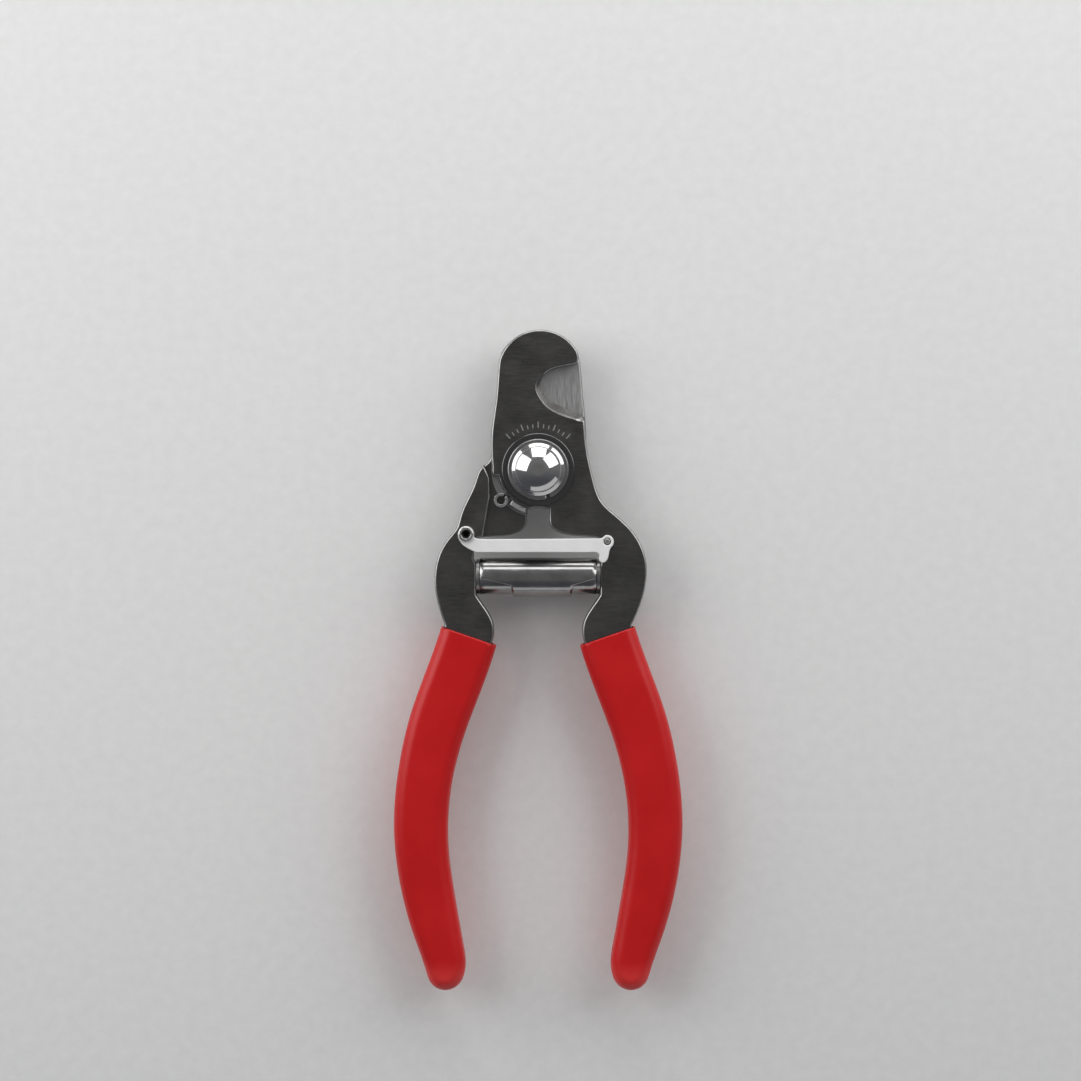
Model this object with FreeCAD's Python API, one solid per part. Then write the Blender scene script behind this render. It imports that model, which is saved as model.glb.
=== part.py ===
import FreeCAD, Part
import math
import os

# Plier-style pet nail trimmer with two notched blades, lying on its back.
# Millimetres. +Y runs from the pivot to the blade tips, +X to the right, +Z up through the dome nut.
# The origin is on the pivot axis, on the rear face of the bolt head, where the tool rests.

# ---- driving dimensions -------------------------------------------------------------------
MID_Z = 7.0                 # plane where the two blades slide on each other
LEVER_HALF = 2.6            # half the thickness of a lever
BLADE_GAP = 0.05            # from the sliding plane to each blade's inner face
EDGE_LEFT = 0.45            # height over the sliding plane where the grind of a notch ends
GRIND_PAST = 0.02           # how far that grind passes the outer face
RUNNING = 0.05              # clearance of a running fit, and between stacked moving faces
FRONT_Z = MID_Z + LEVER_HALF
REAR_Z = MID_Z - LEVER_HALF

HUB_R = 9.2                 # round lower-left edge of the hub
SHANK_R = 2.5               # pivot bolt
HEAD_HEX = 8.4              # across the flats of the bolt head
HEAD_T = 2.5
BOLT_IN_NUT = 2.8           # length of shank inside the dome nut
WASHER_T = 0.8
REAR_WASHER_R = 6.0
FRONT_WASHER_R = 7.3
LOCK_WASHER_R = 6.1
NUT_FLANGE_R = 5.3
NUT_DOME_R = 4.5
NUT_FLANGE_T = 0.9
NUT_RIM_T = 0.35            # straight edge of the flange, under its sloping face
NUT_WALL = 1.5              # straight wall between the flange and the dome
NUT_DOME_CURVE = 6.3        # radius of the low dome in section

OPEN_DEG = 22.0             # travel of the handles from closed to fully open
PIN_AT = (-7.4, -6.1)       # roll pin that ends the travel both ways
PIN_R = 1.4
PIN_PROUD = 0.3
PIN_SEAT = 0.7              # steel left under the blind hole of the roll pin
STOP_SLACK = 0.15           # left between the roll pin and the recess it runs in
GROUND_TO_DEG = 268.0       # end of the ground part of the hub's rim
MARK_DEPTH = 0.15           # depth of that part, and of the tick marks

COAT_PROUD = 1.15           # vinyl over the front and rear faces of the tang
COAT_SIDE = 1.1             # vinyl over the edges of the tang
GRIP_ROUND = 2.6

SPRING_Y = -21.3
SPRING_END_X = 11.6         # half the length of the closed spring
SPRING_R = 4.15
SPRING_END_R = 3.6
SPRING_HOLLOW_R = 2.5
PEG_R = 2.1
PEG_COLLAR_R = 3.5
PEG_COLLAR_T = 0.7
PEG_TIP_X = 8.6
PEG_TENON_R = 1.5
PEG_TENON_END_X = 16.0
SEAT_X = 12.35              # flat of the lever that the collar sits on

LATCH_AT = (-14.3, -12.85)  # pivot of the lock strap
LATCH_T = 0.8
LATCH_LIFT = 1.65           # thickness of the spacer washer, which holds the strap clear of the spring
LATCH_EYE_R = 1.6
LATCH_RIVET_R = 0.95
LATCH_HEAD_R = 1.5
STUD_AT = (13.7, -14.3)
STUD_R = 0.6
STUD_SLACK = 0.15           # between the stud and its hole in the strap
STUD_LIFT = 1.4             # height of the keeper stud over the lever

GUARD_T = 1.0
GUARD_DROP = 3.0            # how far the stop bar stands back behind the notch
GUARD_PIN_AT = (5.5, 7.4)
GUARD_PIN_R = 0.8

CUT = 60.0                  # longer than any wall that a cutter passes through
FULL_TURN = 360.0


# ---- helpers ------------------------------------------------------------------------------
def at(x, y, z=0.0):
    return FreeCAD.Vector(x, y, z)


def polar(radius, degrees):
    angle = math.radians(degrees)
    return (radius * math.cos(angle), radius * math.sin(angle))


def outline(*stretches):
    """A flat face bounded by stretches joined end to end: two points make a straight line,
    three an arc through them, and more a smooth curve."""
    edges = []
    for points in stretches:
        ends = [at(x, y) for x, y in points]
        if len(ends) == 2:
            edges.append(Part.makeLine(ends[0], ends[1]))
        elif len(ends) == 3:
            edges.append(Part.Arc(ends[0], ends[1], ends[2]).toShape())
        else:
            curve = Part.BSplineCurve()
            curve.interpolate(ends)
            edges.append(curve.toShape())
    return Part.Face(Part.Wire(edges))


def polygon(points):
    ends = [at(x, y) for x, y in points]
    return Part.Face(Part.makePolygon(ends + ends[:1]))


def slab(face, low, high):
    """The face stood between two heights."""
    raised = face.copy()
    raised.translate(at(0, 0, low))
    return raised.extrude(at(0, 0, high - low))


def post(centre, radius, low, high):
    return Part.makeCylinder(radius, high - low, at(centre[0], centre[1], low))


def ring(centre, outer, inner, low, high):
    return post(centre, outer, low, high).cut(post(centre, inner, low, high))


def rod(radius, start_x, end_x):
    """A round bar along X, on the spring's axis."""
    low, high = min(start_x, end_x), max(start_x, end_x)
    return Part.makeCylinder(radius, high - low, at(low, SPRING_Y, MID_Z), at(1, 0, 0))


def turned_over(shape):
    """The same piece turned half a turn about +Y, in the sliding plane."""
    other = shape.copy()
    other.rotate(at(0, 0, MID_Z), at(0, 1, 0), FULL_TURN / 2)
    return other


def inset(points, distance):
    """Inner points of an open outline that is drawn clockwise, moved into the material."""
    moved = []
    for before, here, after in zip(points, points[1:], points[2:]):
        run = (after[0] - before[0], after[1] - before[1])
        length = math.hypot(run[0], run[1])
        moved.append((here[0] + run[1] / length * distance, here[1] - run[0] / length * distance))
    return moved


def round_off(shape, radius, wanted):
    """Fillets the edges that the test picks."""
    return shape.makeFillet(radius, [edge for edge in shape.Edges if wanted(edge)])


def flat_at(height):
    """Picks the edges that lie in one horizontal plane."""
    def test(edge):
        box = edge.BoundBox
        return abs(box.ZMin - height) < 0.01 and abs(box.ZMax - height) < 0.01
    return test


# ---- outlines of the right-hand lever, clockwise from the hub -------------------------------
BLADE_LEFT = [
    polar(HUB_R, 176), (-9.4, 4.2), (-9.3, 7.6), (-8.9, 10.8), (-8.4, 14.4), (-8.1, 18.4), (-7.8, 21.7),
]
BLADE_TIP = [(-7.8, 21.7), (0.4, 27.9), (7.8, 23.6)]
TIP_CORNER = [(7.8, 23.6), (8.1, 22.4)]
NOTCH_MOUTH = [(8.1, 22.4), (7.8, 21.2)]
NOTCH = [
    (7.8, 21.2), (4.6, 20.5), (2.2, 19.7), (0.8, 18.4), (0.3, 16.7), (0.9, 15.1), (2.4, 13.8), (4.8, 12.6),
    (9.2, 10.5),
]
# the rear blade stands about half a millimetre further out on its blank side
REAR_BLADE_LEFT = [
    polar(HUB_R, 176), (-9.6, 4.2), (-9.6, 7.6), (-9.4, 10.8), (-9.0, 14.4), (-8.7, 18.4), (-8.4, 21.7),
]
REAR_BLADE_TIP = [(-8.4, 21.7), (-0.3, 27.9), (7.4, 23.4)]
REAR_TIP_CORNER = [(7.4, 23.4), (7.6, 22.4)]
REAR_NOTCH_MOUTH = [(7.6, 22.4), (7.4, 21.1)]
REAR_NOTCH = [(7.4, 21.1)] + NOTCH[1:-1] + [(8.9, 10.7)]
RIGHT_SHOULDER = [
    (9.2, 10.5), (9.4, 7.5), (9.8, 3.8), (10.5, 0.3), (11.3, -3.0), (12.6, -6.2), (15.2, -8.8),
    (18.4, -11.8), (20.6, -15.2), (21.6, -18.9), (21.5, -22.2), (20.6, -26.2), (18.6, -31.0),
]
LEFT_SHOULDER = [
    (8.9, 10.7), (9.2, 7.0), (9.4, 3.6), (9.9, 1.8), (11.3, 0.5), (12.6, -2.4), (14.1, -5.8), (15.5, -9.0),
    (16.3, -11.6), (17.7, -13.4), (19.5, -16.2), (20.5, -19.6), (20.6, -23.4), (19.9, -27.0), (18.6, -31.0),
]
GRIP = [
    (19.3, -31.2), (22.2, -39.6), (25.3, -48.2), (27.7, -58.5), (28.8, -71.0), (27.6, -82.5), (24.8, -93.0),
    (22.4, -99.9), (21.2, -102.6), (18.5, -103.8), (15.8, -102.6), (14.6, -99.9),
    (15.0, -94.6), (16.6, -85.6), (17.9, -76.0), (17.6, -65.0), (15.4, -55.0), (12.0, -45.6), (8.3, -35.0),
]
TANG_TOP = (9.2, -34.4)     # where the lever's inner edge passes under the vinyl
INNER_EDGE = [TANG_TOP, (8.8, -32.4), (9.1, -30.2), (10.5, -27.6), (SEAT_X, -24.9)]
SPRING_SEAT = [(SEAT_X, -24.9), (SEAT_X, -18.9)]
SEAT_TOOTH = [(SEAT_X, -18.9), (12.9, -17.6)]
STRAP_RECESS = [(12.9, -17.6), (12.6, -14.3)]
WEB_CORNER = [(12.6, -14.3), (12.3, -13.75), (11.7, -13.55)]
WEB_EDGE = [(11.7, -13.55), (7.4, -13.2), (4.4, -12.6), (2.9, -11.7), (2.2, -10.2)]
SLOT_SIDE = [(2.2, -10.2), (2.2, -7.9)]
SLOT_TOP = [(2.2, -7.9), (0.0, -7.6), (-2.2, -7.9)]
HUB_END = 180.0 + math.degrees(math.acos(2.2 / HUB_R))
SLOT_FAR_SIDE = [(-2.2, -7.9), polar(HUB_R, HUB_END)]
HUB_ROUND = [polar(HUB_R, HUB_END), polar(HUB_R, -145), polar(HUB_R, 176)]

# edge of the full-thickness shoulder: it clears the other blade at every opening
SHOULDER_STEP = [(11.6, 2.6), (10.35, -0.1), (9.65, -1.6), (9.6, -5.5), (11.0, -13.6), (11.0, -20.0)]
SHOULDER_FAR = [(0.0, -26.0), (0.0, -120.0), (60.0, -120.0), (60.0, 2.6)]

FRONT_BLADE = [BLADE_LEFT, BLADE_TIP, TIP_CORNER, NOTCH_MOUTH, NOTCH]
REAR_BLADE = [REAR_BLADE_LEFT, REAR_BLADE_TIP, REAR_TIP_CORNER, REAR_NOTCH_MOUTH, REAR_NOTCH]
LOWER_EDGES = [
    INNER_EDGE, SPRING_SEAT, SEAT_TOOTH, STRAP_RECESS, WEB_CORNER, WEB_EDGE,
    SLOT_SIDE, SLOT_TOP, SLOT_FAR_SIDE, HUB_ROUND,
]


def lever_outline(blade, shoulder):
    tang = [shoulder[-1]] + inset(GRIP, COAT_SIDE) + [TANG_TOP]
    return outline(*blade, shoulder, tang, *LOWER_EDGES)


def notch_grind():
    """The hollow that is ground under the notch, which leaves a thin cutting edge."""
    sharp = [(14.0, 20.0), (7.8, 20.4), (4.6, 19.8), (2.2, 19.0), (0.8, 17.9)] + NOTCH[4:-1] + [(14.0, 8.3)]
    ground = [
        (14.0, 20.2), (7.6, 20.7), (4.5, 20.1), (2.0, 19.3), (0.1, 18.2), (-0.6, 16.6), (0.1, 14.4),
        (1.7, 12.4), (4.3, 10.9), (14.0, 6.3),
    ]
    wires = []
    for points, height in ((sharp, MID_Z + EDGE_LEFT), (ground, FRONT_Z + GRIND_PAST)):
        ends = [at(x, y, height) for x, y in points]
        curve = Part.BSplineCurve()
        curve.interpolate(ends)
        wires.append(Part.Wire([curve.toShape(), Part.makeLine(ends[-1], ends[0])]))
    return Part.makeLoft(wires, True, True)


def lever_blank(blade, shoulder):
    """A lever before its own holes: half thick at the blade and hub, full thick below the shoulder."""
    whole = lever_outline(blade, shoulder)
    front_half = slab(whole, MID_Z + BLADE_GAP, FRONT_Z)
    thick_part = slab(whole.common(polygon(SHOULDER_STEP + SHOULDER_FAR)), REAR_Z, FRONT_Z)
    blank = front_half.fuse(thick_part).removeSplitter()
    blank = blank.cut(notch_grind())
    return blank.cut(rod(PEG_TENON_R, SEAT_X, PEG_TENON_END_X))


def hub_sector(inner, low, high, bottom):
    """Cutter for part of the hub's rim, between two angles and down to the given height."""
    outer = HUB_R + 2.0
    middle = (low + high) / 2
    sector = outline(
        [polar(inner, low), polar(outer, low)],
        [polar(outer, low), polar(outer, middle), polar(outer, high)],
        [polar(outer, high), polar(inner, high)],
        [polar(inner, high), polar(inner, middle), polar(inner, low)],
    )
    return slab(sector, bottom, FRONT_Z + 1.0)


def pin_recess():
    """Cut-out in the rim of the front hub, as long as the travel, that the roll pin runs in. Beyond the pin
    the rim is ground a little lower, as far as the slot."""
    radius = math.hypot(PIN_AT[0], PIN_AT[1])
    middle = FULL_TURN + math.degrees(math.atan2(PIN_AT[1], PIN_AT[0]))
    reach = math.degrees(math.asin((PIN_R + STOP_SLACK) / radius))
    inner = radius - PIN_R - STOP_SLACK
    through = hub_sector(inner, middle - OPEN_DEG - reach, middle + reach, MID_Z)
    ground = hub_sector(inner, middle, GROUND_TO_DEG, FRONT_Z - MARK_DEPTH)
    return through.fuse(ground)


def tick_marks():
    """Plain radial grooves on an arc over the washer, on the front blade."""
    count, spread, start = 13, 84.0, 8.3
    width = 0.26
    cutters = []
    for index in range(count):
        length = 1.3 if index % 3 == 0 else 0.8
        groove = Part.makeBox(length, width, CUT, at(start, -width / 2, FRONT_Z - MARK_DEPTH))
        groove.rotate(at(0, 0, 0), at(0, 0, 1), 90 + spread * (index / (count - 1) - 0.5))
        cutters.append(groove)
    return Part.makeCompound(cutters)


def front_lever():
    solid = lever_blank(FRONT_BLADE, RIGHT_SHOULDER)
    solid = solid.cut(post((0, 0), SHANK_R + RUNNING, 0, CUT))
    solid = solid.cut(pin_recess())
    solid = solid.cut(keeper_stud())
    return solid.cut(tick_marks())


def rear_lever():
    solid = turned_over(lever_blank(REAR_BLADE, LEFT_SHOULDER))
    solid = solid.cut(post((0, 0), SHANK_R, 0, CUT))
    solid = solid.cut(post(PIN_AT, PIN_R, REAR_Z + PIN_SEAT, MID_Z + 1.0))
    solid = solid.cut(guard_pin())
    return solid.cut(latch_rivet())


# ---- grips --------------------------------------------------------------------------------
def right_grip():
    """Vinyl sleeve that follows the tang, with a straight slanting mouth."""
    face = outline(GRIP, [GRIP[-1], GRIP[0]])
    low, high = REAR_Z - COAT_PROUD, FRONT_Z + COAT_PROUD
    sleeve = slab(face, low, high)

    def long_edge(edge):
        return edge.Length > 100.0 and (flat_at(low)(edge) or flat_at(high)(edge))

    return round_off(sleeve, GRIP_ROUND, long_edge)


# ---- pivot --------------------------------------------------------------------------------
def stop_bar_low():
    return HEAD_T + WASHER_T + RUNNING


def pivot_bolt():
    """Hex bolt with the corners of its head turned off at 30 degrees, and a plain shank."""
    corner_r = HEAD_HEX / math.sqrt(3.0)
    rim = HEAD_HEX / 2 + 0.1
    chamfer = 0.5
    end = nut_low() + BOLT_IN_NUT
    head = slab(polygon([polar(corner_r, 60 * side) for side in range(6)]), 0, HEAD_T)
    head = head.common(Part.makeCone(rim, rim + CUT * math.sqrt(3.0), CUT))
    bolt = head.fuse(post((0, 0), SHANK_R, HEAD_T, end)).removeSplitter()
    return bolt.makeChamfer(chamfer, [edge for edge in bolt.Edges if flat_at(end)(edge)])


def rear_washer():
    return ring((0, 0), REAR_WASHER_R, SHANK_R, HEAD_T, HEAD_T + WASHER_T)


def pivot_washer():
    low = FRONT_Z + RUNNING
    return ring((0, 0), FRONT_WASHER_R, SHANK_R, low, low + WASHER_T)


def lock_washer():
    """Split spring washer, drawn flat, as it is under a tight nut."""
    low = FRONT_Z + RUNNING + WASHER_T
    gap, gap_at = 0.6, -70.0
    washer = ring((0, 0), LOCK_WASHER_R, SHANK_R, low, low + WASHER_T)
    split = Part.makeBox(CUT, gap, WASHER_T, at(0, -gap / 2, low))
    split.rotate(at(0, 0, 0), at(0, 0, 1), gap_at)
    return washer.cut(split)


def nut_low():
    return FRONT_Z + RUNNING + 2 * WASHER_T


def dome_nut():
    """Sloping round flange, short wall and low dome, with a blind bore for the bolt."""
    low = nut_low()
    top = low + NUT_FLANGE_T
    flange = post((0, 0), NUT_FLANGE_R, low, low + NUT_RIM_T)
    slope = Part.makeCone(NUT_FLANGE_R, NUT_DOME_R, NUT_FLANGE_T - NUT_RIM_T, at(0, 0, low + NUT_RIM_T))
    wall_top = top + NUT_WALL
    sunk = math.sqrt(NUT_DOME_CURVE ** 2 - NUT_DOME_R ** 2)
    dome = Part.makeSphere(NUT_DOME_CURVE, at(0, 0, wall_top - sunk))
    crown = post((0, 0), NUT_DOME_R, low, CUT).common(dome.fuse(post((0, 0), NUT_DOME_R, low, wall_top)))
    solid = flange.fuse([slope, crown]).removeSplitter()
    return solid.cut(pivot_bolt())


def stop_pin():
    """Slotted roll pin, pressed into the rear lever and standing through the recess of the front hub."""
    low, high = REAR_Z + PIN_SEAT, FRONT_Z + PIN_PROUD
    gap, gap_at = 0.5, 50.0
    pin = ring(PIN_AT, PIN_R, PIN_R * 0.6, low, high)
    slit = Part.makeBox(PIN_R * 2, gap, CUT, at(PIN_AT[0], PIN_AT[1] - gap / 2, 0))
    slit.rotate(at(PIN_AT[0], PIN_AT[1], 0), at(0, 0, 1), gap_at)
    return pin.cut(slit)


# ---- stop bar -----------------------------------------------------------------------------
def stop_bar():
    """Guard plate on the pivot, joggled back to stand off behind the notches."""
    low = stop_bar_low()
    top = low + GUARD_T
    plan = outline(
        [(4.6, 3.85), (4.55, 8.4)],
        [(4.55, 8.4), (3.4, 10.2), (2.9, 12.0), (2.9, 20.4)],
        [(2.9, 20.4), (-2.2, 25.0), (-7.2, 20.4)],
        [(-7.2, 20.4), (-7.1, 12.0), (-6.0, 9.6), (-4.6, 7.4), (-4.6, 3.85)],
        [(-4.6, 3.85), (0.0, -REAR_WASHER_R), (4.6, 3.85)],
    )
    ramp_start, ramp_end = 8.2, 11.2
    side = [
        (-8.0, low), (ramp_start, low), (ramp_end, low - GUARD_DROP), (30.0, low - GUARD_DROP),
        (30.0, top - GUARD_DROP), (ramp_end + 0.4, top - GUARD_DROP), (ramp_start + 0.4, top), (-8.0, top),
    ]
    ends = [at(-CUT / 2, y, z) for y, z in side]
    bent = Part.Face(Part.makePolygon(ends + ends[:1])).extrude(at(CUT, 0, 0))
    plate = slab(plan, 0, CUT).common(bent)
    return plate.cut(post((0, 0), SHANK_R + RUNNING, 0, CUT))


def guard_pin():
    """Small pin in the rear blade, which the stop bar lies against in its working place."""
    sunk = 1.6
    return post(GUARD_PIN_AT, GUARD_PIN_R, stop_bar_low() + 0.1, REAR_Z + sunk)


# ---- spring and its pegs ------------------------------------------------------------------
def volute_spring():
    """Outer form of the rolled strip: a wide middle coil and a smaller one at each end."""
    step_x = 6.2
    step_r = SPRING_R - 0.35
    end_x = SPRING_END_X
    half = [(step_x, SPRING_R), (step_x, step_r), (end_x, SPRING_END_R), (end_x, SPRING_HOLLOW_R)]
    profile = [(-x, r) for x, r in reversed(half)] + half
    ends = [at(x, SPRING_Y + r, MID_Z) for x, r in profile]
    section = Part.Face(Part.makePolygon(ends + ends[:1]))
    return section.revolve(at(0, SPRING_Y, MID_Z), at(1, 0, 0), FULL_TURN)


def right_spring_peg():
    """Collared peg: its tenon is pressed into the lever and its nose stands in the spring."""
    nose = rod(PEG_R, PEG_TIP_X, SEAT_X)
    collar = rod(PEG_COLLAR_R, SEAT_X - PEG_COLLAR_T, SEAT_X)
    tenon = rod(PEG_TENON_R, SEAT_X, PEG_TENON_END_X)
    return nose.fuse([collar, tenon]).removeSplitter()


# ---- lock strap ---------------------------------------------------------------------------
def strap_low():
    return FRONT_Z + LATCH_LIFT + RUNNING


def latch_strap():
    """Flat bright strap with a rivet eye at the left, and a stud hole and thumb tab at the right."""
    low = strap_low()
    bar = outline(
        [LATCH_AT, (-12.75, -13.4)],
        [(-12.75, -13.4), (-12.2, -13.7), (-11.0, -13.85)],
        [(-11.0, -13.85), (12.2, -13.7)],
        [(12.2, -13.7), (12.8, -13.5), (13.2, -13.1)],
        [(13.2, -13.1), (14.9, -13.9), (14.6, -15.3)],
        [(14.6, -15.3), (14.1, -16.2), (13.9, -17.3), (13.2, -18.4)],
        [(13.2, -18.4), (12.3, -18.3), (12.1, -17.4)],
        [(12.1, -17.4), (11.9, -16.7), (11.2, -16.45)],
        [(11.2, -16.45), (-12.3, -16.45)],
        [(-12.3, -16.45), (-13.7, -15.8), (-15.1, -14.8), (-15.85, -13.3)],
        [(-15.85, -13.3), LATCH_AT],
    )
    eye = post(LATCH_AT, LATCH_EYE_R, low, low + LATCH_T)
    strap = slab(bar, low, low + LATCH_T).fuse(eye).removeSplitter()
    strap = strap.cut(post(LATCH_AT, LATCH_RIVET_R + RUNNING, 0, CUT))
    return strap.cut(post(STUD_AT, STUD_R + STUD_SLACK, 0, CUT))


def latch_rivet():
    """Tubular rivet with a flush countersunk tail and a round head, flared at its mouth."""
    head_low = strap_low() + LATCH_T + RUNNING
    head_top = head_low + 0.55
    sink, bore_r, bore_depth = 0.7, 0.55, 1.6
    mouth_r, mouth_depth = 1.0, 0.45
    tail = Part.makeCone(LATCH_RIVET_R + sink, LATCH_RIVET_R, sink, at(LATCH_AT[0], LATCH_AT[1], REAR_Z))
    shank = post(LATCH_AT, LATCH_RIVET_R, REAR_Z, head_low)
    head = post(LATCH_AT, LATCH_HEAD_R, head_low, head_top)
    rivet = shank.fuse([tail, head]).removeSplitter()
    rivet = round_off(rivet, 0.25, flat_at(head_top))
    mouth = Part.makeCone(bore_r, mouth_r, mouth_depth, at(LATCH_AT[0], LATCH_AT[1], head_top - mouth_depth))
    return rivet.cut([post(LATCH_AT, bore_r, head_low - bore_depth, CUT), mouth])


def latch_washer():
    return ring(LATCH_AT, LATCH_EYE_R, LATCH_RIVET_R, FRONT_Z, FRONT_Z + LATCH_LIFT)


def keeper_stud():
    """Round-topped post in the front lever, just behind the hole of the strap."""
    sunk = 2.4
    stud = post(STUD_AT, STUD_R, FRONT_Z - sunk, FRONT_Z + STUD_LIFT)
    return round_off(stud, 0.25, flat_at(FRONT_Z + STUD_LIFT))


# ---- every piece --------------------------------------------------------------------------
def build():
    right, left = front_lever(), rear_lever()
    grip, peg = right_grip(), right_spring_peg()
    return {
        "front_lever": right,
        "rear_lever": left,
        "right_grip": grip.cut(right),
        "left_grip": turned_over(grip).cut(left),
        "pivot_bolt": pivot_bolt(),
        "rear_washer": rear_washer(),
        "stop_bar": stop_bar(),
        "guard_pin": guard_pin(),
        "pivot_washer": pivot_washer(),
        "lock_washer": lock_washer(),
        "dome_nut": dome_nut(),
        "stop_pin": stop_pin(),
        "volute_spring": volute_spring(),
        "left_spring_peg": turned_over(peg),
        "right_spring_peg": peg,
        "latch_strap": latch_strap(),
        "latch_rivet": latch_rivet(),
        "latch_washer": latch_washer(),
        "keeper_stud": keeper_stud(),
    }


os.makedirs("parts", exist_ok=True)
for name, solid in build().items():
    solid.exportStep("parts/" + name + ".step")
    print(name, "valid" if solid.isValid() else "NOT VALID", len(solid.Solids), round(solid.Volume, 1))
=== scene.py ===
import math

import bmesh
import bpy
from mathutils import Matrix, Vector
from mathutils.bvhtree import BVHTree


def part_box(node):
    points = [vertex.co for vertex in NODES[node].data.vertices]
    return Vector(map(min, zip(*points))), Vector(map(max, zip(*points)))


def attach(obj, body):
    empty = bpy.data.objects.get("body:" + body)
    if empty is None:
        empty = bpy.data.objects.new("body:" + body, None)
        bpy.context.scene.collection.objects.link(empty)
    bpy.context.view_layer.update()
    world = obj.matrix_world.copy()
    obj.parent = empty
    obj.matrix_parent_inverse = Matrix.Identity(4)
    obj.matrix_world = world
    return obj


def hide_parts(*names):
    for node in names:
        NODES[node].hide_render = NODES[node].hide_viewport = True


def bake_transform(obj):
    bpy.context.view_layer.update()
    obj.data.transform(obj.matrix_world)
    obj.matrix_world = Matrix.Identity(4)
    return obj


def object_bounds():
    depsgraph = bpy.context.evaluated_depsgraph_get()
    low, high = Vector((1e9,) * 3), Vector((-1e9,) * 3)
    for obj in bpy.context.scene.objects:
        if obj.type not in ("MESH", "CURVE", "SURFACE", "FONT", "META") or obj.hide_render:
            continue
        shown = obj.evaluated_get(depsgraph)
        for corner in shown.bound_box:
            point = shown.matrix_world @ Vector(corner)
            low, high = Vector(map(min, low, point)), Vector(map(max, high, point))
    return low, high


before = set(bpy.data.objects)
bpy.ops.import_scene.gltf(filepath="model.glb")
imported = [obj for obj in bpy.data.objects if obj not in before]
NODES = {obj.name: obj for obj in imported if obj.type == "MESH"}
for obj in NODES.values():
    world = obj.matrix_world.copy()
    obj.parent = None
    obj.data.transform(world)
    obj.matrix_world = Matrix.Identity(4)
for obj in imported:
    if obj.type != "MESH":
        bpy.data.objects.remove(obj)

CAD_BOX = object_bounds()
MM = 0.001

# ---- places read from the frame -------------------------------------------------------------
TOOL_LOW = CAD_BOX[0]
FRONT_LOW, FRONT_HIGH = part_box("front_lever")
REAR_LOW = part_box("rear_lever")[0]
LAP_Z = (FRONT_LOW.z + FRONT_HIGH.z) / 2         # plane where the two blades slide
FRONT_LAP, REAR_LAP = LAP_Z + 0.05 * MM, LAP_Z - 0.05 * MM
HUB_R = 9.3 * MM                                 # just past the round edge of the hub
SPRING_LOW, SPRING_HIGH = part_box("volute_spring")
SHARP = 28.0                                     # degrees: a sharper edge than this is an edge
EDGE_W = 0.45 * MM                               # broken corner round the outline of a lever
WELD = 0.001 * MM                                # vertices nearer than this are one vertex
TOUCH = 0.01 * MM                                # heights nearer than this are one height
TICK_DEPTH = 0.15 * MM                           # depth of the tick marks round the washer
CREASE = math.radians(38.0)                      # a sharper edge of a finished lever is shaded as an edge
WALL_TILT = 0.12                                 # most upward lean of a face that counts as a wall
PIN_MARGIN = 0.2 * MM                            # width round a pin's hole that keeps its plain edge
SPIKE = 0.004 * MM                               # a corner further out than this is pulled back


# ---- node trees -----------------------------------------------------------------------------
class Shader:
    """A material's node tree, with one short call for each kind of node that it uses."""

    def __init__(self, name):
        self.material = bpy.data.materials.new(name)
        self.material.use_nodes = True
        self.tree = self.material.node_tree
        self.bsdf = self.tree.nodes["Principled BSDF"]
        coordinates = self.tree.nodes.new("ShaderNodeTexCoord")
        self.place = coordinates.outputs["Object"]
        self.normal = self.tree.nodes.new("ShaderNodeNewGeometry").outputs["Normal"]

    def put(self, value, socket):
        if hasattr(value, "is_output"):
            self.tree.links.new(value, socket)
        else:
            socket.default_value = value

    def node(self, kind, inputs, output=0, **settings):
        made = self.tree.nodes.new(kind)
        for key, value in settings.items():
            setattr(made, key, value)
        for key, value in inputs.items():
            self.put(value, made.inputs[key])
        return made.outputs[output]

    def math(self, operation, a, b=0.0):
        return self.node("ShaderNodeMath", {0: a, 1: b}, operation=operation)

    def axis(self, vector, letter):
        return self.node("ShaderNodeSeparateXYZ", {0: vector}, output=letter)

    def stretched(self, x, y, z):
        return self.node("ShaderNodeMapping", {"Vector": self.place, "Scale": (x, y, z)})

    def noise(self, scale, detail=4.0, roughness=0.55, vector=None):
        inputs = {"Vector": vector or self.place, "Scale": scale, "Detail": detail, "Roughness": roughness}
        return self.node("ShaderNodeTexNoise", inputs)

    def span(self, value, low, high, to_low=0.0, to_high=1.0, smooth=False):
        """The value carried from one range to another, and held at its ends."""
        kind = "SMOOTHSTEP" if smooth else "LINEAR"
        inputs = {"Value": value, "From Min": low, "From Max": high, "To Min": to_low, "To Max": to_high}
        return self.node("ShaderNodeMapRange", inputs, interpolation_type=kind, clamp=True)

    def blend(self, amount, a, b):
        """Colour a where the amount is 0 and colour b where it is 1."""
        made = self.tree.nodes.new("ShaderNodeMix")
        made.data_type = "RGBA"
        self.put(amount, made.inputs[0])
        self.put(a, made.inputs[6])
        self.put(b, made.inputs[7])
        return made.outputs[2]

    def bump(self, height, strength, depth, under=None):
        inputs = {"Height": height, "Strength": strength, "Distance": depth}
        if under:
            inputs["Normal"] = under
        return self.node("ShaderNodeBump", inputs)

    def edges(self, radius, low=0.02, high=0.35):
        """1 on a sharp edge and 0 away from it."""
        rounded = self.node("ShaderNodeBevel", {"Radius": radius}, samples=6)
        pair = {0: rounded, 1: self.normal}
        dot = self.node("ShaderNodeVectorMath", pair, "Value", operation="DOT_PRODUCT")
        return self.span(self.math("SUBTRACT", 1.0, dot), low, high)

    def finish(self, **sockets):
        for key, value in sockets.items():
            self.put(value, self.bsdf.inputs[key.replace("_", " ")])
        return self.material


def grey(value, warm=0.0):
    return (value * (1 + warm), value, value * (1 - warm), 1.0)


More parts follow.
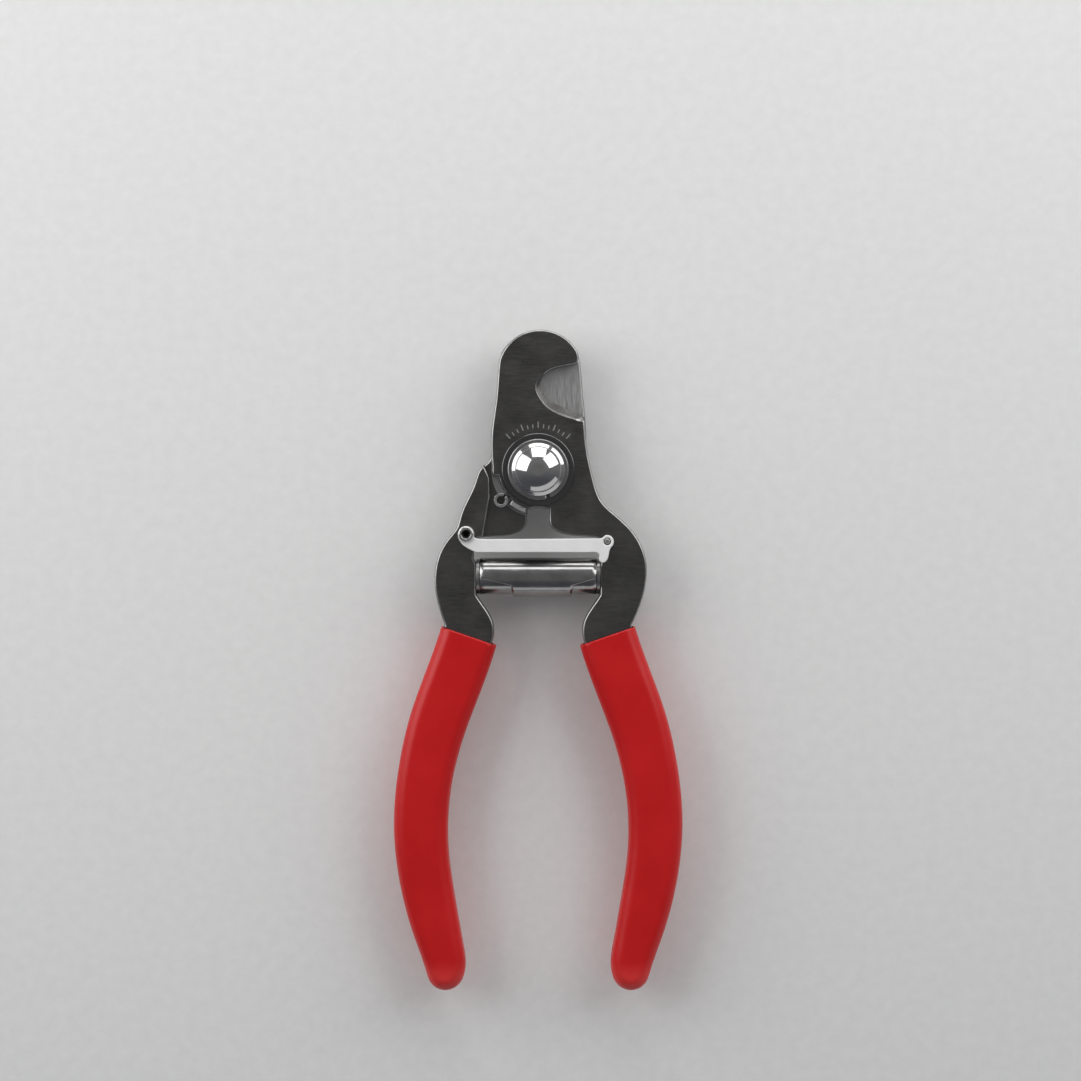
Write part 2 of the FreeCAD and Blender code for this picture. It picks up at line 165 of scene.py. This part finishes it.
def lever_steel():
    """Dark polished steel with a fine grain, and lighter ground faces where the blades slide and cut."""
    s = Shader("lever_steel")
    cloud = s.noise(180, 6)
    grain = s.noise(2600, 3)
    lines = s.noise(1.0, 4, vector=s.stretched(420, 5200, 900))
    ground_lines = s.noise(1.0, 3, vector=s.stretched(5200, 420, 900))
    x, y, z = (s.axis(s.place, letter) for letter in "XYZ")
    facing = s.math("ABSOLUTE", s.axis(s.normal, "Z"))
    up_face = s.span(facing, 0.90, 0.97)
    from_lap = s.math("ABSOLUTE", s.math("SUBTRACT", z, LAP_Z))
    near_lap = s.span(from_lap, 0.15 * MM, 0.10 * MM)
    radius = s.math("SQRT", s.math("ADD", s.math("MULTIPLY", x, x), s.math("MULTIPLY", y, y)))
    on_hub = s.span(radius, HUB_R + 0.15 * MM, HUB_R)
    on_blade = s.span(y, 1 * MM, 3 * MM)
    lap = s.math("MULTIPLY", s.math("MULTIPLY", near_lap, up_face), s.math("MAXIMUM", on_hub, on_blade))
    slope = s.math("MULTIPLY", s.span(facing, 0.16, 0.24), s.span(facing, 0.95, 0.86))
    ground = s.math("MAXIMUM", lap, s.math("MULTIPLY", slope, 0.05))
    from_top = s.math("ABSOLUTE", s.math("SUBTRACT", z, FRONT_HIGH.z))
    from_back = s.math("ABSOLUTE", s.math("SUBTRACT", z, REAR_LOW.z))
    from_face = s.math("MINIMUM", s.math("MINIMUM", from_top, from_back), from_lap)
    # painted highlight: the broken corners beside the outer faces and the lap are painted lighter grey,
    # partly wear and partly a painted highlight along the edges
    broken = s.math("MULTIPLY", s.span(from_face, EDGE_W * 1.2, EDGE_W * 0.6), s.span(facing, 0.05, 0.30))
    worn_and_highlit_edge = s.math("MULTIPLY", broken, s.span(facing, 0.98, 0.88))
    off_tick = s.math("ABSOLUTE", s.math("SUBTRACT", z, FRONT_HIGH.z - TICK_DEPTH))
    tick = s.math("MULTIPLY", s.span(off_tick, 0.09 * MM, 0.05 * MM), up_face)
    polish = s.blend(s.span(cloud, 0.32, 0.68), grey(0.114, 0.03), grey(0.152, 0.03))
    polish = s.blend(s.span(lines, 0.35, 0.75, 0.0, 0.25), polish, grey(0.23, 0.03))
    polish = s.blend(s.span(grain, 0.60, 0.80, 0.0, 0.6), polish, grey(0.25, 0.03))
    satin = s.blend(s.span(ground_lines, 0.30, 0.70), grey(0.50, 0.015), grey(0.62, 0.01))
    colour = s.blend(ground, polish, satin)
    colour = s.blend(tick, colour, grey(0.80, 0.01))
    # the painted edge highlight, lighter in uneven patches
    uneven = s.span(s.noise(700, 3), 0.25, 0.60, 0.55, 1.0)
    colour = s.blend(s.math("MULTIPLY", worn_and_highlit_edge, uneven), colour, grey(0.38, 0.01))
    rough_polish = s.math("ADD", s.span(lines, 0.30, 0.72, 0.24, 0.34), s.span(cloud, 0.3, 0.7, 0.0, 0.08))
    rough_satin = s.span(ground_lines, 0.3, 0.7, 0.34, 0.48)
    rough = s.node("ShaderNodeMix", {0: ground, 2: rough_polish, 3: rough_satin})
    height = s.math("ADD", s.math("MULTIPLY", grain, 0.6), s.math("MULTIPLY", lines, 0.5))
    fine = s.bump(height, 0.16, 0.02 * MM)
    wavy = s.bump(cloud, 0.30, 0.05 * MM, fine)
    return s.finish(Base_Color=colour, Metallic=1.0, Roughness=rough, Normal=wavy)


def red_vinyl():
    """Dipped vinyl: an even glossy coat with faint waves, a little orange peel and a few scuffs."""
    s = Shader("red_vinyl")
    waves = s.noise(95, 3)
    peel = s.noise(1700, 2)
    scuffs = s.noise(1.0, 6, 0.7, vector=s.stretched(260, 1500, 400))
    tone = s.blend(s.span(waves, 0.3, 0.7), (0.54, 0.0060, 0.0070, 1), (0.60, 0.0085, 0.0095, 1))
    y = s.axis(s.place, "Y")
    # painted sheen: the last few millimetres of each grip tip are painted lighter red
    ends = s.span(y, TOOL_LOW.y + 6.5 * MM, TOOL_LOW.y + 2.5 * MM, smooth=True)
    tone = s.blend(s.math("MULTIPLY", ends, 0.38), tone, (0.86, 0.075, 0.07, 1))
    tone = s.blend(s.span(scuffs, 0.66, 0.80, 0.0, 0.30), tone, (0.64, 0.05, 0.05, 1))
    # painted highlight: the grips' sharp edges and mouth rim are painted lighter red
    tone = s.blend(s.math("MULTIPLY", s.edges(0.5 * MM), 0.7), tone, (0.80, 0.09, 0.09, 1))
    rough = s.math("ADD", s.span(waves, 0.3, 0.7, 0.34, 0.42), s.span(scuffs, 0.60, 0.80, 0.0, 0.22))
    fine = s.bump(peel, 0.16, 0.03 * MM)
    coat = s.bump(waves, 0.50, 0.25 * MM, fine)
    return s.finish(
        Base_Color=tone, Roughness=rough, Normal=coat, IOR=1.46,
        Specular_IOR_Level=0.35, Coat_Weight=0.12, Coat_Roughness=0.20,
    )


def plated(name, dark, light, rough_low, rough_high, lines=(900, 900, 900), bump=0.10, metal=1.0):
    """Plated or plain steel: faint clouding, fine scratches and lighter edges, partly wear and partly a
    painted highlight.
    """
    s = Shader(name)
    cloud = s.noise(260, 5)
    scratches = s.noise(1.0, 5, 0.65, vector=s.stretched(*lines))
    colour = s.blend(s.span(cloud, 0.3, 0.7), grey(dark, 0.01), grey(light, 0.01))
    # painted highlight, partly wear: the sharp edges are painted lighter
    colour = s.blend(s.math("MULTIPLY", s.edges(0.15 * MM), 0.5), colour, grey(min(1.0, light * 1.35)))
    scratched = s.span(scratches, 0.3, 0.7, rough_low, rough_high)
    rough = s.math("ADD", scratched, s.span(cloud, 0.45, 0.75, 0.0, 0.05))
    height = s.bump(scratches, bump, 0.02 * MM)
    return s.finish(Base_Color=colour, Metallic=metal, Roughness=rough, Normal=height)


def bright_pins(names):
    """Plated pins and rivets, with painted shade in their bores and a painted highlight on their edges."""
    s = Shader("pin_plate")
    cloud = s.noise(900, 4)
    shade = 0.0
    for name in names:
        low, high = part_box(name)
        middle = (low + high) / 2
        flat = s.node("ShaderNodeVectorMath", {0: s.place, 1: (1.0, 1.0, 0.0)}, operation="MULTIPLY")
        pair = {0: flat, 1: (middle.x, middle.y, 0)}
        apart = s.node("ShaderNodeVectorMath", pair, "Value", operation="DISTANCE")
        radius = (high.x - low.x) / 2
        # painted shade: inside each pin's bore the colour goes nearly black
        bore = s.span(apart, radius * 0.62, radius * 0.52)
        shade = s.math("MAXIMUM", shade, bore)
    colour = s.blend(s.span(cloud, 0.3, 0.7), grey(0.52, 0.01), grey(0.72, 0.01))
    # painted highlight: the sharp edges are painted near white
    colour = s.blend(s.math("MULTIPLY", s.edges(0.12 * MM), 0.5), colour, grey(0.9))
    # painted shade in the bores
    colour = s.blend(shade, colour, grey(0.045, 0.05))
    rough = s.math("ADD", s.span(cloud, 0.3, 0.7, 0.14, 0.28), s.math("MULTIPLY", shade, 0.3))
    return s.finish(Base_Color=colour, Metallic=1.0, Roughness=rough, Normal=s.bump(cloud, 0.12, 0.02 * MM))


def turned_steel(name, dark, light, rough_low, rough_high):
    """Steel turned on the pivot axis, with fine rings round it."""
    s = Shader(name)
    flat = s.node("ShaderNodeVectorMath", {0: s.place, 1: (1.0, 1.0, 0.0)}, operation="MULTIPLY")
    radius = s.node("ShaderNodeVectorMath", {0: flat}, output="Value", operation="LENGTH")
    height = s.axis(s.place, "Z")
    across = s.node("ShaderNodeCombineXYZ", {0: radius, 1: height})
    rings = s.noise(9000, 3, vector=across)
    cloud = s.noise(300, 4)
    colour = s.blend(s.span(rings, 0.3, 0.7), grey(dark), grey(light))
    colour = s.blend(s.span(cloud, 0.45, 0.75, 0.0, 0.3), colour, grey(dark * 0.7, 0.02))
    ringed = s.span(rings, 0.3, 0.7, rough_low, rough_high)
    rough = s.math("ADD", ringed, s.span(cloud, 0.4, 0.7, 0.0, 0.06))
    grooves = s.bump(rings, 0.18, 0.015 * MM)
    return s.finish(Base_Color=colour, Metallic=1.0, Roughness=rough, Normal=grooves)


# ---- meshes ---------------------------------------------------------------------------------
def soften(piece, width, segments=2):
    """Small rounded edges and smooth faces on a CAD node, by modifiers alone."""
    joined = piece.modifiers.new("joined", "NODES")
    joined.node_group = joined_smooth()
    flats = piece.modifiers.new("flats", "DECIMATE")
    flats.decimate_type = "DISSOLVE"
    flats.angle_limit = math.radians(0.3)
    bevel = piece.modifiers.new("edges", "BEVEL")
    bevel.width = width
    bevel.segments = segments
    bevel.limit_method = "ANGLE"
    bevel.angle_limit = math.radians(SHARP)
    bevel.harden_normals = True
    bevel.use_clamp_overlap = False
    bevel.loop_slide = False


class Geometry:
    """A geometry node group, with one short call for each kind of node that it uses."""

    def __init__(self, name):
        self.group = bpy.data.node_groups.new(name, "GeometryNodeTree")
        self.group.interface.new_socket("Geometry", in_out="INPUT", socket_type="NodeSocketGeometry")
        self.group.interface.new_socket("Geometry", in_out="OUTPUT", socket_type="NodeSocketGeometry")
        self.start = self.group.nodes.new("NodeGroupInput").outputs[0]
        self.end = self.group.nodes.new("NodeGroupOutput").inputs[0]

    def node(self, kind, inputs, output=0, **settings):
        made = self.group.nodes.new(kind)
        for key, value in settings.items():
            setattr(made, key, value)
        for key, value in inputs.items():
            if hasattr(value, "is_output"):
                self.group.links.new(value, made.inputs[key])
            else:
                made.inputs[key].default_value = value
        return made.outputs[output]

    def math(self, operation, a, b=0.0):
        return self.node("ShaderNodeMath", {0: a, 1: b}, operation=operation)

    def is_sharp(self):
        angle = self.node("GeometryNodeInputMeshEdgeAngle", {}, "Unsigned Angle")
        return self.math("GREATER_THAN", angle, math.radians(SHARP))

    def finish(self, geometry):
        self.group.links.new(geometry, self.end)
        return self.group


def joined_smooth():
    """Joins the vertices of faces that the CAD mesh splits, and shades every soft edge smooth."""
    name = "joined_smooth"
    if name in bpy.data.node_groups:
        return bpy.data.node_groups[name]
    g = Geometry(name)
    plain = g.node("GeometryNodeRemoveAttribute", {"Geometry": g.start, "Name": "custom_normal"})
    merged = g.node("GeometryNodeMergeByDistance", {"Geometry": plain, "Distance": WELD})
    faces = g.node("GeometryNodeSetShadeSmooth", {"Geometry": merged}, domain="FACE")
    soft = g.math("SUBTRACT", 1.0, g.is_sharp())
    inputs = {"Geometry": faces, "Shade Smooth": soft}
    return g.finish(g.node("GeometryNodeSetShadeSmooth", inputs, domain="EDGE"))


def is_level(face):
    heights = [corner.co.z for corner in face.verts]
    return max(heights) - min(heights) < 0.005 * MM


def is_wall(face):
    return abs(face.normal.z) < WALL_TILT


def is_upright(one, two):
    return (one.co - two.co).xy.length < 0.002 * MM


def is_along(one, two):
    return abs(one.co.z - two.co.z) < TOUCH


def inside(box, point, margin):
    low, high = box
    return all(low[k] - margin < point[k] < high[k] + margin for k in (0, 1))


def merge_faces(mesh, kind, keep=None):
    """Joins neighbouring faces of one kind into whole ones, apart from the edges to keep."""
    chosen = {face for face in mesh.faces if kind(face)}
    shared = [edge for edge in mesh.edges if len(edge.link_faces) == 2]
    within = [edge for edge in shared if all(face in chosen for face in edge.link_faces)]
    if keep:
        within = [edge for edge in within if not keep(edge)]
    bmesh.ops.dissolve_edges(mesh, edges=within, use_verts=False, use_face_split=False)


def square_walls(mesh):
    """Makes the walls of a plate of four-sided strips, each from its top to its foot."""
    loose = []
    for vert in mesh.verts:
        on_lap = min(abs(vert.co.z - height) for height in (LAP_Z, REAR_LAP, FRONT_LAP)) < TOUCH
        if not on_lap and all(is_wall(face) for face in vert.link_faces):
            loose.append(vert)
    bmesh.ops.dissolve_verts(mesh, verts=loose, use_face_split=False, use_boundary_tear=False)
    mesh.normal_update()
    merge_faces(mesh, is_wall, lambda edge: is_upright(*edge.verts) or is_along(*edge.verts))
    mesh.normal_update()
    open_walls = [face for face in mesh.faces if is_wall(face)]
    while open_walls:
        face = open_walls.pop()
        pair = upright_pair(face) if len(face.verts) > 4 and bulge(face) > TOUCH else None
        if pair:
            open_walls += [face, bmesh.utils.face_split(face, *pair)[0]]


def bulge(face):
    middle = face.calc_center_median()
    return max(abs((vert.co - middle).dot(face.normal)) for vert in face.verts)


def upright_pair(face):
    """The two corners of a wall that lie most nearly one above the other and aren't joined yet."""
    corners = list(face.verts)
    last = len(corners) - 1
    pairs = []
    for i, one in enumerate(corners):
        for j in range(i + 2, last + 1):
            if (i, j) != (0, last) and abs(one.co.z - corners[j].co.z) > 0.1 * MM:
                pairs.append(((one.co - corners[j].co).xy.length, i, j))
    if not pairs:
        return None
    _, i, j = min(pairs)
    return corners[i], corners[j]


def breaks(edge, holes):
    """Whether an edge of a lever gets a broken corner: a convex one between a flat face and a tall wall."""
    if len(edge.link_faces) != 2 or not edge.is_convex:
        return False
    flat = [face for face in edge.link_faces if is_level(face)]
    wall = [face for face in edge.link_faces if not is_level(face)]
    if len(flat) != 1 or any(all(inside(box, v.co, PIN_MARGIN) for v in edge.verts) for box in holes):
        return False
    heights = [corner.co.z for corner in wall[0].verts]
    least_height, most_lean = 2.2 * EDGE_W, 0.1
    return max(heights) - min(heights) > least_height and abs(wall[0].normal.z) < most_lean


def keep_within(mesh, surface):
    """Brings the corners that a bevel has pushed out of the lever back onto its surface."""
    for vert in mesh.verts:
        place, normal, _, gap = surface.find_nearest(vert.co)
        if gap > SPIKE and (vert.co - place).dot(normal) > 0:
            vert.co = place


def finished_lever(name, material):
    """The lever with its flat faces made whole and the corners of its outline broken, as after tumbling."""
    mesh = bmesh.new()
    mesh.from_mesh(NODES[name].data)
    bmesh.ops.remove_doubles(mesh, verts=mesh.verts, dist=WELD)
    merge_faces(mesh, is_level)
    mesh.normal_update()
    square_walls(mesh)
    mesh.normal_update()
    holes = [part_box(pin) for pin in ("pivot_bolt", "stop_pin", "latch_rivet", "keeper_stud", "guard_pin")]
    chosen = [edge for edge in mesh.edges if breaks(edge, holes)]
    surface = BVHTree.FromBMesh(mesh)
    bmesh.ops.bevel(
        mesh, geom=chosen, offset=EDGE_W, offset_type="OFFSET", segments=3, profile=0.5, affect="EDGES",
        clamp_overlap=False, loop_slide=False,
    )
    keep_within(mesh, surface)
    mesh.normal_update()
    for face in mesh.faces:
        face.smooth = True
    for edge in mesh.edges:
        edge.smooth = len(edge.link_faces) == 2 and edge.calc_face_angle(math.pi) < CREASE
    data = bpy.data.meshes.new(name + "_finished")
    mesh.to_mesh(data)
    mesh.free()
    data.materials.append(material)
    piece = bpy.data.objects.new(name + "_finished", data)
    bpy.context.scene.collection.objects.link(piece)
    flat_light = piece.modifiers.new("face_normals", "WEIGHTED_NORMAL")
    flat_light.keep_sharp = True
    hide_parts(name)
    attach(piece, name)


def new_mesh(name, rings):
    """A skin over equal rings of points, with its two ends filled."""
    mesh = bmesh.new()
    loops = [[mesh.verts.new(point) for point in ring] for ring in rings]
    for one, two in zip(loops, loops[1:]):
        for k in range(len(one)):
            mesh.faces.new((one[k - 1], one[k], two[k], two[k - 1]))
    mesh.faces.new(loops[0])
    mesh.faces.new(list(reversed(loops[-1])))
    bmesh.ops.recalc_face_normals(mesh, faces=mesh.faces)
    data = bpy.data.meshes.new(name)
    mesh.to_mesh(data)
    mesh.free()
    for face in data.polygons:
        face.use_smooth = True
    piece = bpy.data.objects.new(name, data)
    bpy.context.scene.collection.objects.link(piece)
    return piece


def between(table, value):
    """Straight interpolation in a short rising table of (value, result)."""
    for (low, a), (high, b) in zip(table, table[1:]):
        if value <= high:
            share = max(0.0, (value - low) / (high - low))
            return a + (b - a) * share
    return table[-1][1]


def volute_spring():
    """One wide strip rolled up along the spring's axis, whose outer turn narrows towards its end."""
    middle = (SPRING_LOW + SPRING_HIGH) / 2
    outer_r = (SPRING_HIGH.y - SPRING_LOW.y) / 2
    full = (SPRING_HIGH.x - SPRING_LOW.x) / 2
    thick, pitch, turns = 0.36 * MM, 0.44 * MM, 3.1
    corner = 0.09 * MM
    steps_round, steps_across = 360, 22
    # half-width of the strip against the angle short of its outer end, in turns
    taper = [(0.0, 0.42), (0.40, 0.50), (0.545, 0.53), (0.606, 0.98), (0.65, 1.0), (turns, 1.0)]
    off_centre = 1.6 * MM                   # the narrow end lies to the right of the middle
    end_angle = -0.62                       # outer end, in turns from the front, counted upwards
    rings = []
    for i in range(steps_round + 1):
        back = turns * i / steps_round
        angle = 2 * math.pi * (end_angle + back)
        radius = outer_r - thick / 2 - pitch * back
        share = between(taper, back)
        half, shift = full * share, off_centre * (1 - share)
        profile = []
        for j in range(steps_across + 1):
            profile.append((-half + corner + 2 * (half - corner) * j / steps_across, thick / 2))
        profile.append((half, thick / 2 - corner))
        profile.append((half, -thick / 2 + corner))
        for j in range(steps_across + 1):
            profile.append((half - corner - 2 * (half - corner) * j / steps_across, -thick / 2))
        profile.append((-half, -thick / 2 + corner))
        profile.append((-half, thick / 2 - corner))
        out = Vector((0, math.sin(angle), math.cos(angle)))
        rings.append([middle + Vector((x + shift, 0, 0)) + out * (radius + r) for x, r in profile])
    spring = new_mesh("volute_spring_coil", rings)
    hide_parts("volute_spring")
    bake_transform(spring)
    return spring


# ---- light, floor and camera ----------------------------------------------------------------
def softbox(name, place, target, size, radiance):
    """A rectangular lamp that looks equally bright from everywhere in front of it."""
    data = bpy.data.lights.new(name, "AREA")
    data.shape = "RECTANGLE"
    data.size, data.size_y = size
    data.energy = radiance * math.pi * size[0] * size[1]
    lamp = bpy.data.objects.new(name, data)
    bpy.context.scene.collection.objects.link(lamp)
    lamp.location = place
    lamp.rotation_euler = (Vector(target) - Vector(place)).to_track_quat("-Z", "Y").to_euler()


def studio():
    """A dim room that the camera sees as pale grey: three softboxes round the blades, one past the grips."""
    world = bpy.data.worlds.new("studio")
    bpy.context.scene.world = world
    bpy.context.scene.view_settings.view_transform = "Standard"
    world.use_nodes = True
    tree = world.node_tree
    new, link = tree.nodes.new, tree.links.new
    room = tree.nodes["Background"]
    room.inputs["Strength"].default_value = 1.0
    where = new("ShaderNodeTexCoord")
    split = new("ShaderNodeSeparateXYZ")
    link(where.outputs["Generated"], split.inputs[0])
    front = new("ShaderNodeMapRange")
    front.interpolation_type = "SMOOTHSTEP"
    for key, value in (("From Min", -0.75), ("From Max", 0.25), ("To Min", 0.0), ("To Max", 1.0)):
        front.inputs[key].default_value = value
    link(split.outputs["Y"], front.inputs["Value"])
    walls = new("ShaderNodeMix")
    walls.data_type = "RGBA"
    walls.inputs[6].default_value = (0.10, 0.103, 0.115, 1)
    walls.inputs[7].default_value = (0.24, 0.243, 0.25, 1)
    link(front.outputs[0], walls.inputs[0])
    up = new("ShaderNodeMapRange")
    up.interpolation_type = "SMOOTHSTEP"
    for key, value in (("From Min", 0.86), ("From Max", 0.97), ("To Min", 0.0), ("To Max", 1.0)):
        up.inputs[key].default_value = value
    link(split.outputs["Z"], up.inputs["Value"])
    ceiling = new("ShaderNodeMix")
    ceiling.data_type = "RGBA"
    ceiling.inputs[7].default_value = (0.20, 0.20, 0.20, 1)
    link(up.outputs[0], ceiling.inputs[0])
    link(walls.outputs[2], ceiling.inputs[6])
    link(ceiling.outputs[2], room.inputs["Color"])
    backdrop = new("ShaderNodeBackground")
    backdrop.inputs["Color"].default_value = (0.62, 0.62, 0.62, 1)
    ray = new("ShaderNodeLightPath")
    choice = new("ShaderNodeMixShader")
    link(ray.outputs["Is Camera Ray"], choice.inputs[0])
    link(room.outputs[0], choice.inputs[1])
    link(backdrop.outputs[0], choice.inputs[2])
    link(choice.outputs[0], tree.nodes["World Output"].inputs["Surface"])
    head = (0.0, 5 * MM, 8 * MM)
    softbox("key", (-0.44, 0.19, 0.26), head, (0.46, 0.48), 2.55)
    softbox("far", (0.02, 0.54, 0.235), head, (0.46, 0.44), 2.6)
    softbox("side", (0.39, 0.28, 0.29), head, (0.42, 0.46), 2.3)
    softbox("near", (0.28, -0.72, 0.22), (0, -60 * MM, 8 * MM), (1.50, 0.30), 0.62)


def floor():
    """A wide pale board, with a faint paper tooth."""
    s = Shader("floor_paper")
    tooth = s.noise(420, 4)
    colour = s.blend(s.span(tooth, 0.3, 0.7), (0.78, 0.78, 0.77, 1), (0.82, 0.82, 0.81, 1))
    material = s.finish(Base_Color=colour, Roughness=0.75, Normal=s.bump(tooth, 0.1, 0.05 * MM))
    reach, count = 1.6, 8
    steps = [-reach + 2 * reach * k / count for k in range(count + 1)]
    mesh = bpy.data.meshes.new("floor")
    points = [(x, y, TOOL_LOW.z) for y in steps for x in steps]
    side = count + 1
    corners = [row * side + column for row in range(count) for column in range(count)]
    mesh.from_pydata(points, [], [(k, k + 1, k + side + 1, k + side) for k in corners])
    board = bpy.data.objects.new("floor", mesh)
    bpy.context.scene.collection.objects.link(board)
    mesh.materials.append(material)


def camera():
    """Straight above the tool, with the blades at the top of the picture."""
    data = bpy.data.cameras.new("camera")
    data.lens = 85.0
    data.sensor_width = 36.0
    eye = bpy.data.objects.new("camera", data)
    bpy.context.scene.collection.objects.link(eye)
    view_width = 216.2 * MM
    distance = view_width * data.lens / data.sensor_width
    middle_x, middle_y = 0.46 * MM, -14.1 * MM       # point of the tool under the camera
    eye.location = (middle_x, middle_y, LAP_Z + distance)
    data.clip_start, data.clip_end = 0.01, 10.0
    bpy.context.scene.camera = eye


# ---- the tool -------------------------------------------------------------------------------
def dress(names, material, width):
    for name in names:
        piece = NODES[name]
        piece.data.materials.clear()
        piece.data.materials.append(material)
        if width:
            soften(piece, width)


def build():
    steel = lever_steel()
    chrome = plated("bright_plate", 0.48, 0.56, 0.05, 0.11, bump=0.05)
    strap = plated("strap_plate", 0.86, 0.93, 0.40, 0.52, lines=(380, 4200, 4200), metal=0.15)
    nickel = turned_steel("washer_steel", 0.10, 0.17, 0.18, 0.30)
    dark = plated("bolt_steel", 0.24, 0.34, 0.25, 0.40, lines=(1400, 1400, 500))
    guard = plated("guard_steel", 0.34, 0.46, 0.26, 0.42, lines=(5000, 350, 700))
    spring_metal = plated("spring_plate", 0.30, 0.42, 0.12, 0.24, lines=(380, 5200, 5200))
    for name in ("front_lever", "rear_lever"):
        dress([name], steel, 0)
        finished_lever(name, steel)
    dress(["right_grip", "left_grip"], red_vinyl(), 0.30 * MM)
    dress(["dome_nut"], chrome, 0.12 * MM)
    dress(["latch_strap"], strap, 0.16 * MM)
    dress(["pivot_washer", "rear_washer"], nickel, 0.30 * MM)
    dress(["stop_pin", "latch_rivet"], bright_pins(["stop_pin", "latch_rivet"]), 0.06 * MM)
    dress(["latch_washer", "keeper_stud"], plated("stud_plate", 0.55, 0.72, 0.14, 0.28), 0.06 * MM)
    dress(["pivot_bolt", "guard_pin", "left_spring_peg", "right_spring_peg"], dark, 0.08 * MM)
    dress(["lock_washer"], dark, 0.30 * MM)
    dress(["stop_bar"], guard, 0.12 * MM)
    dress(["volute_spring"], spring_metal, 0)
    volute_spring().data.materials.append(spring_metal)


camera()
build()
floor()
studio()
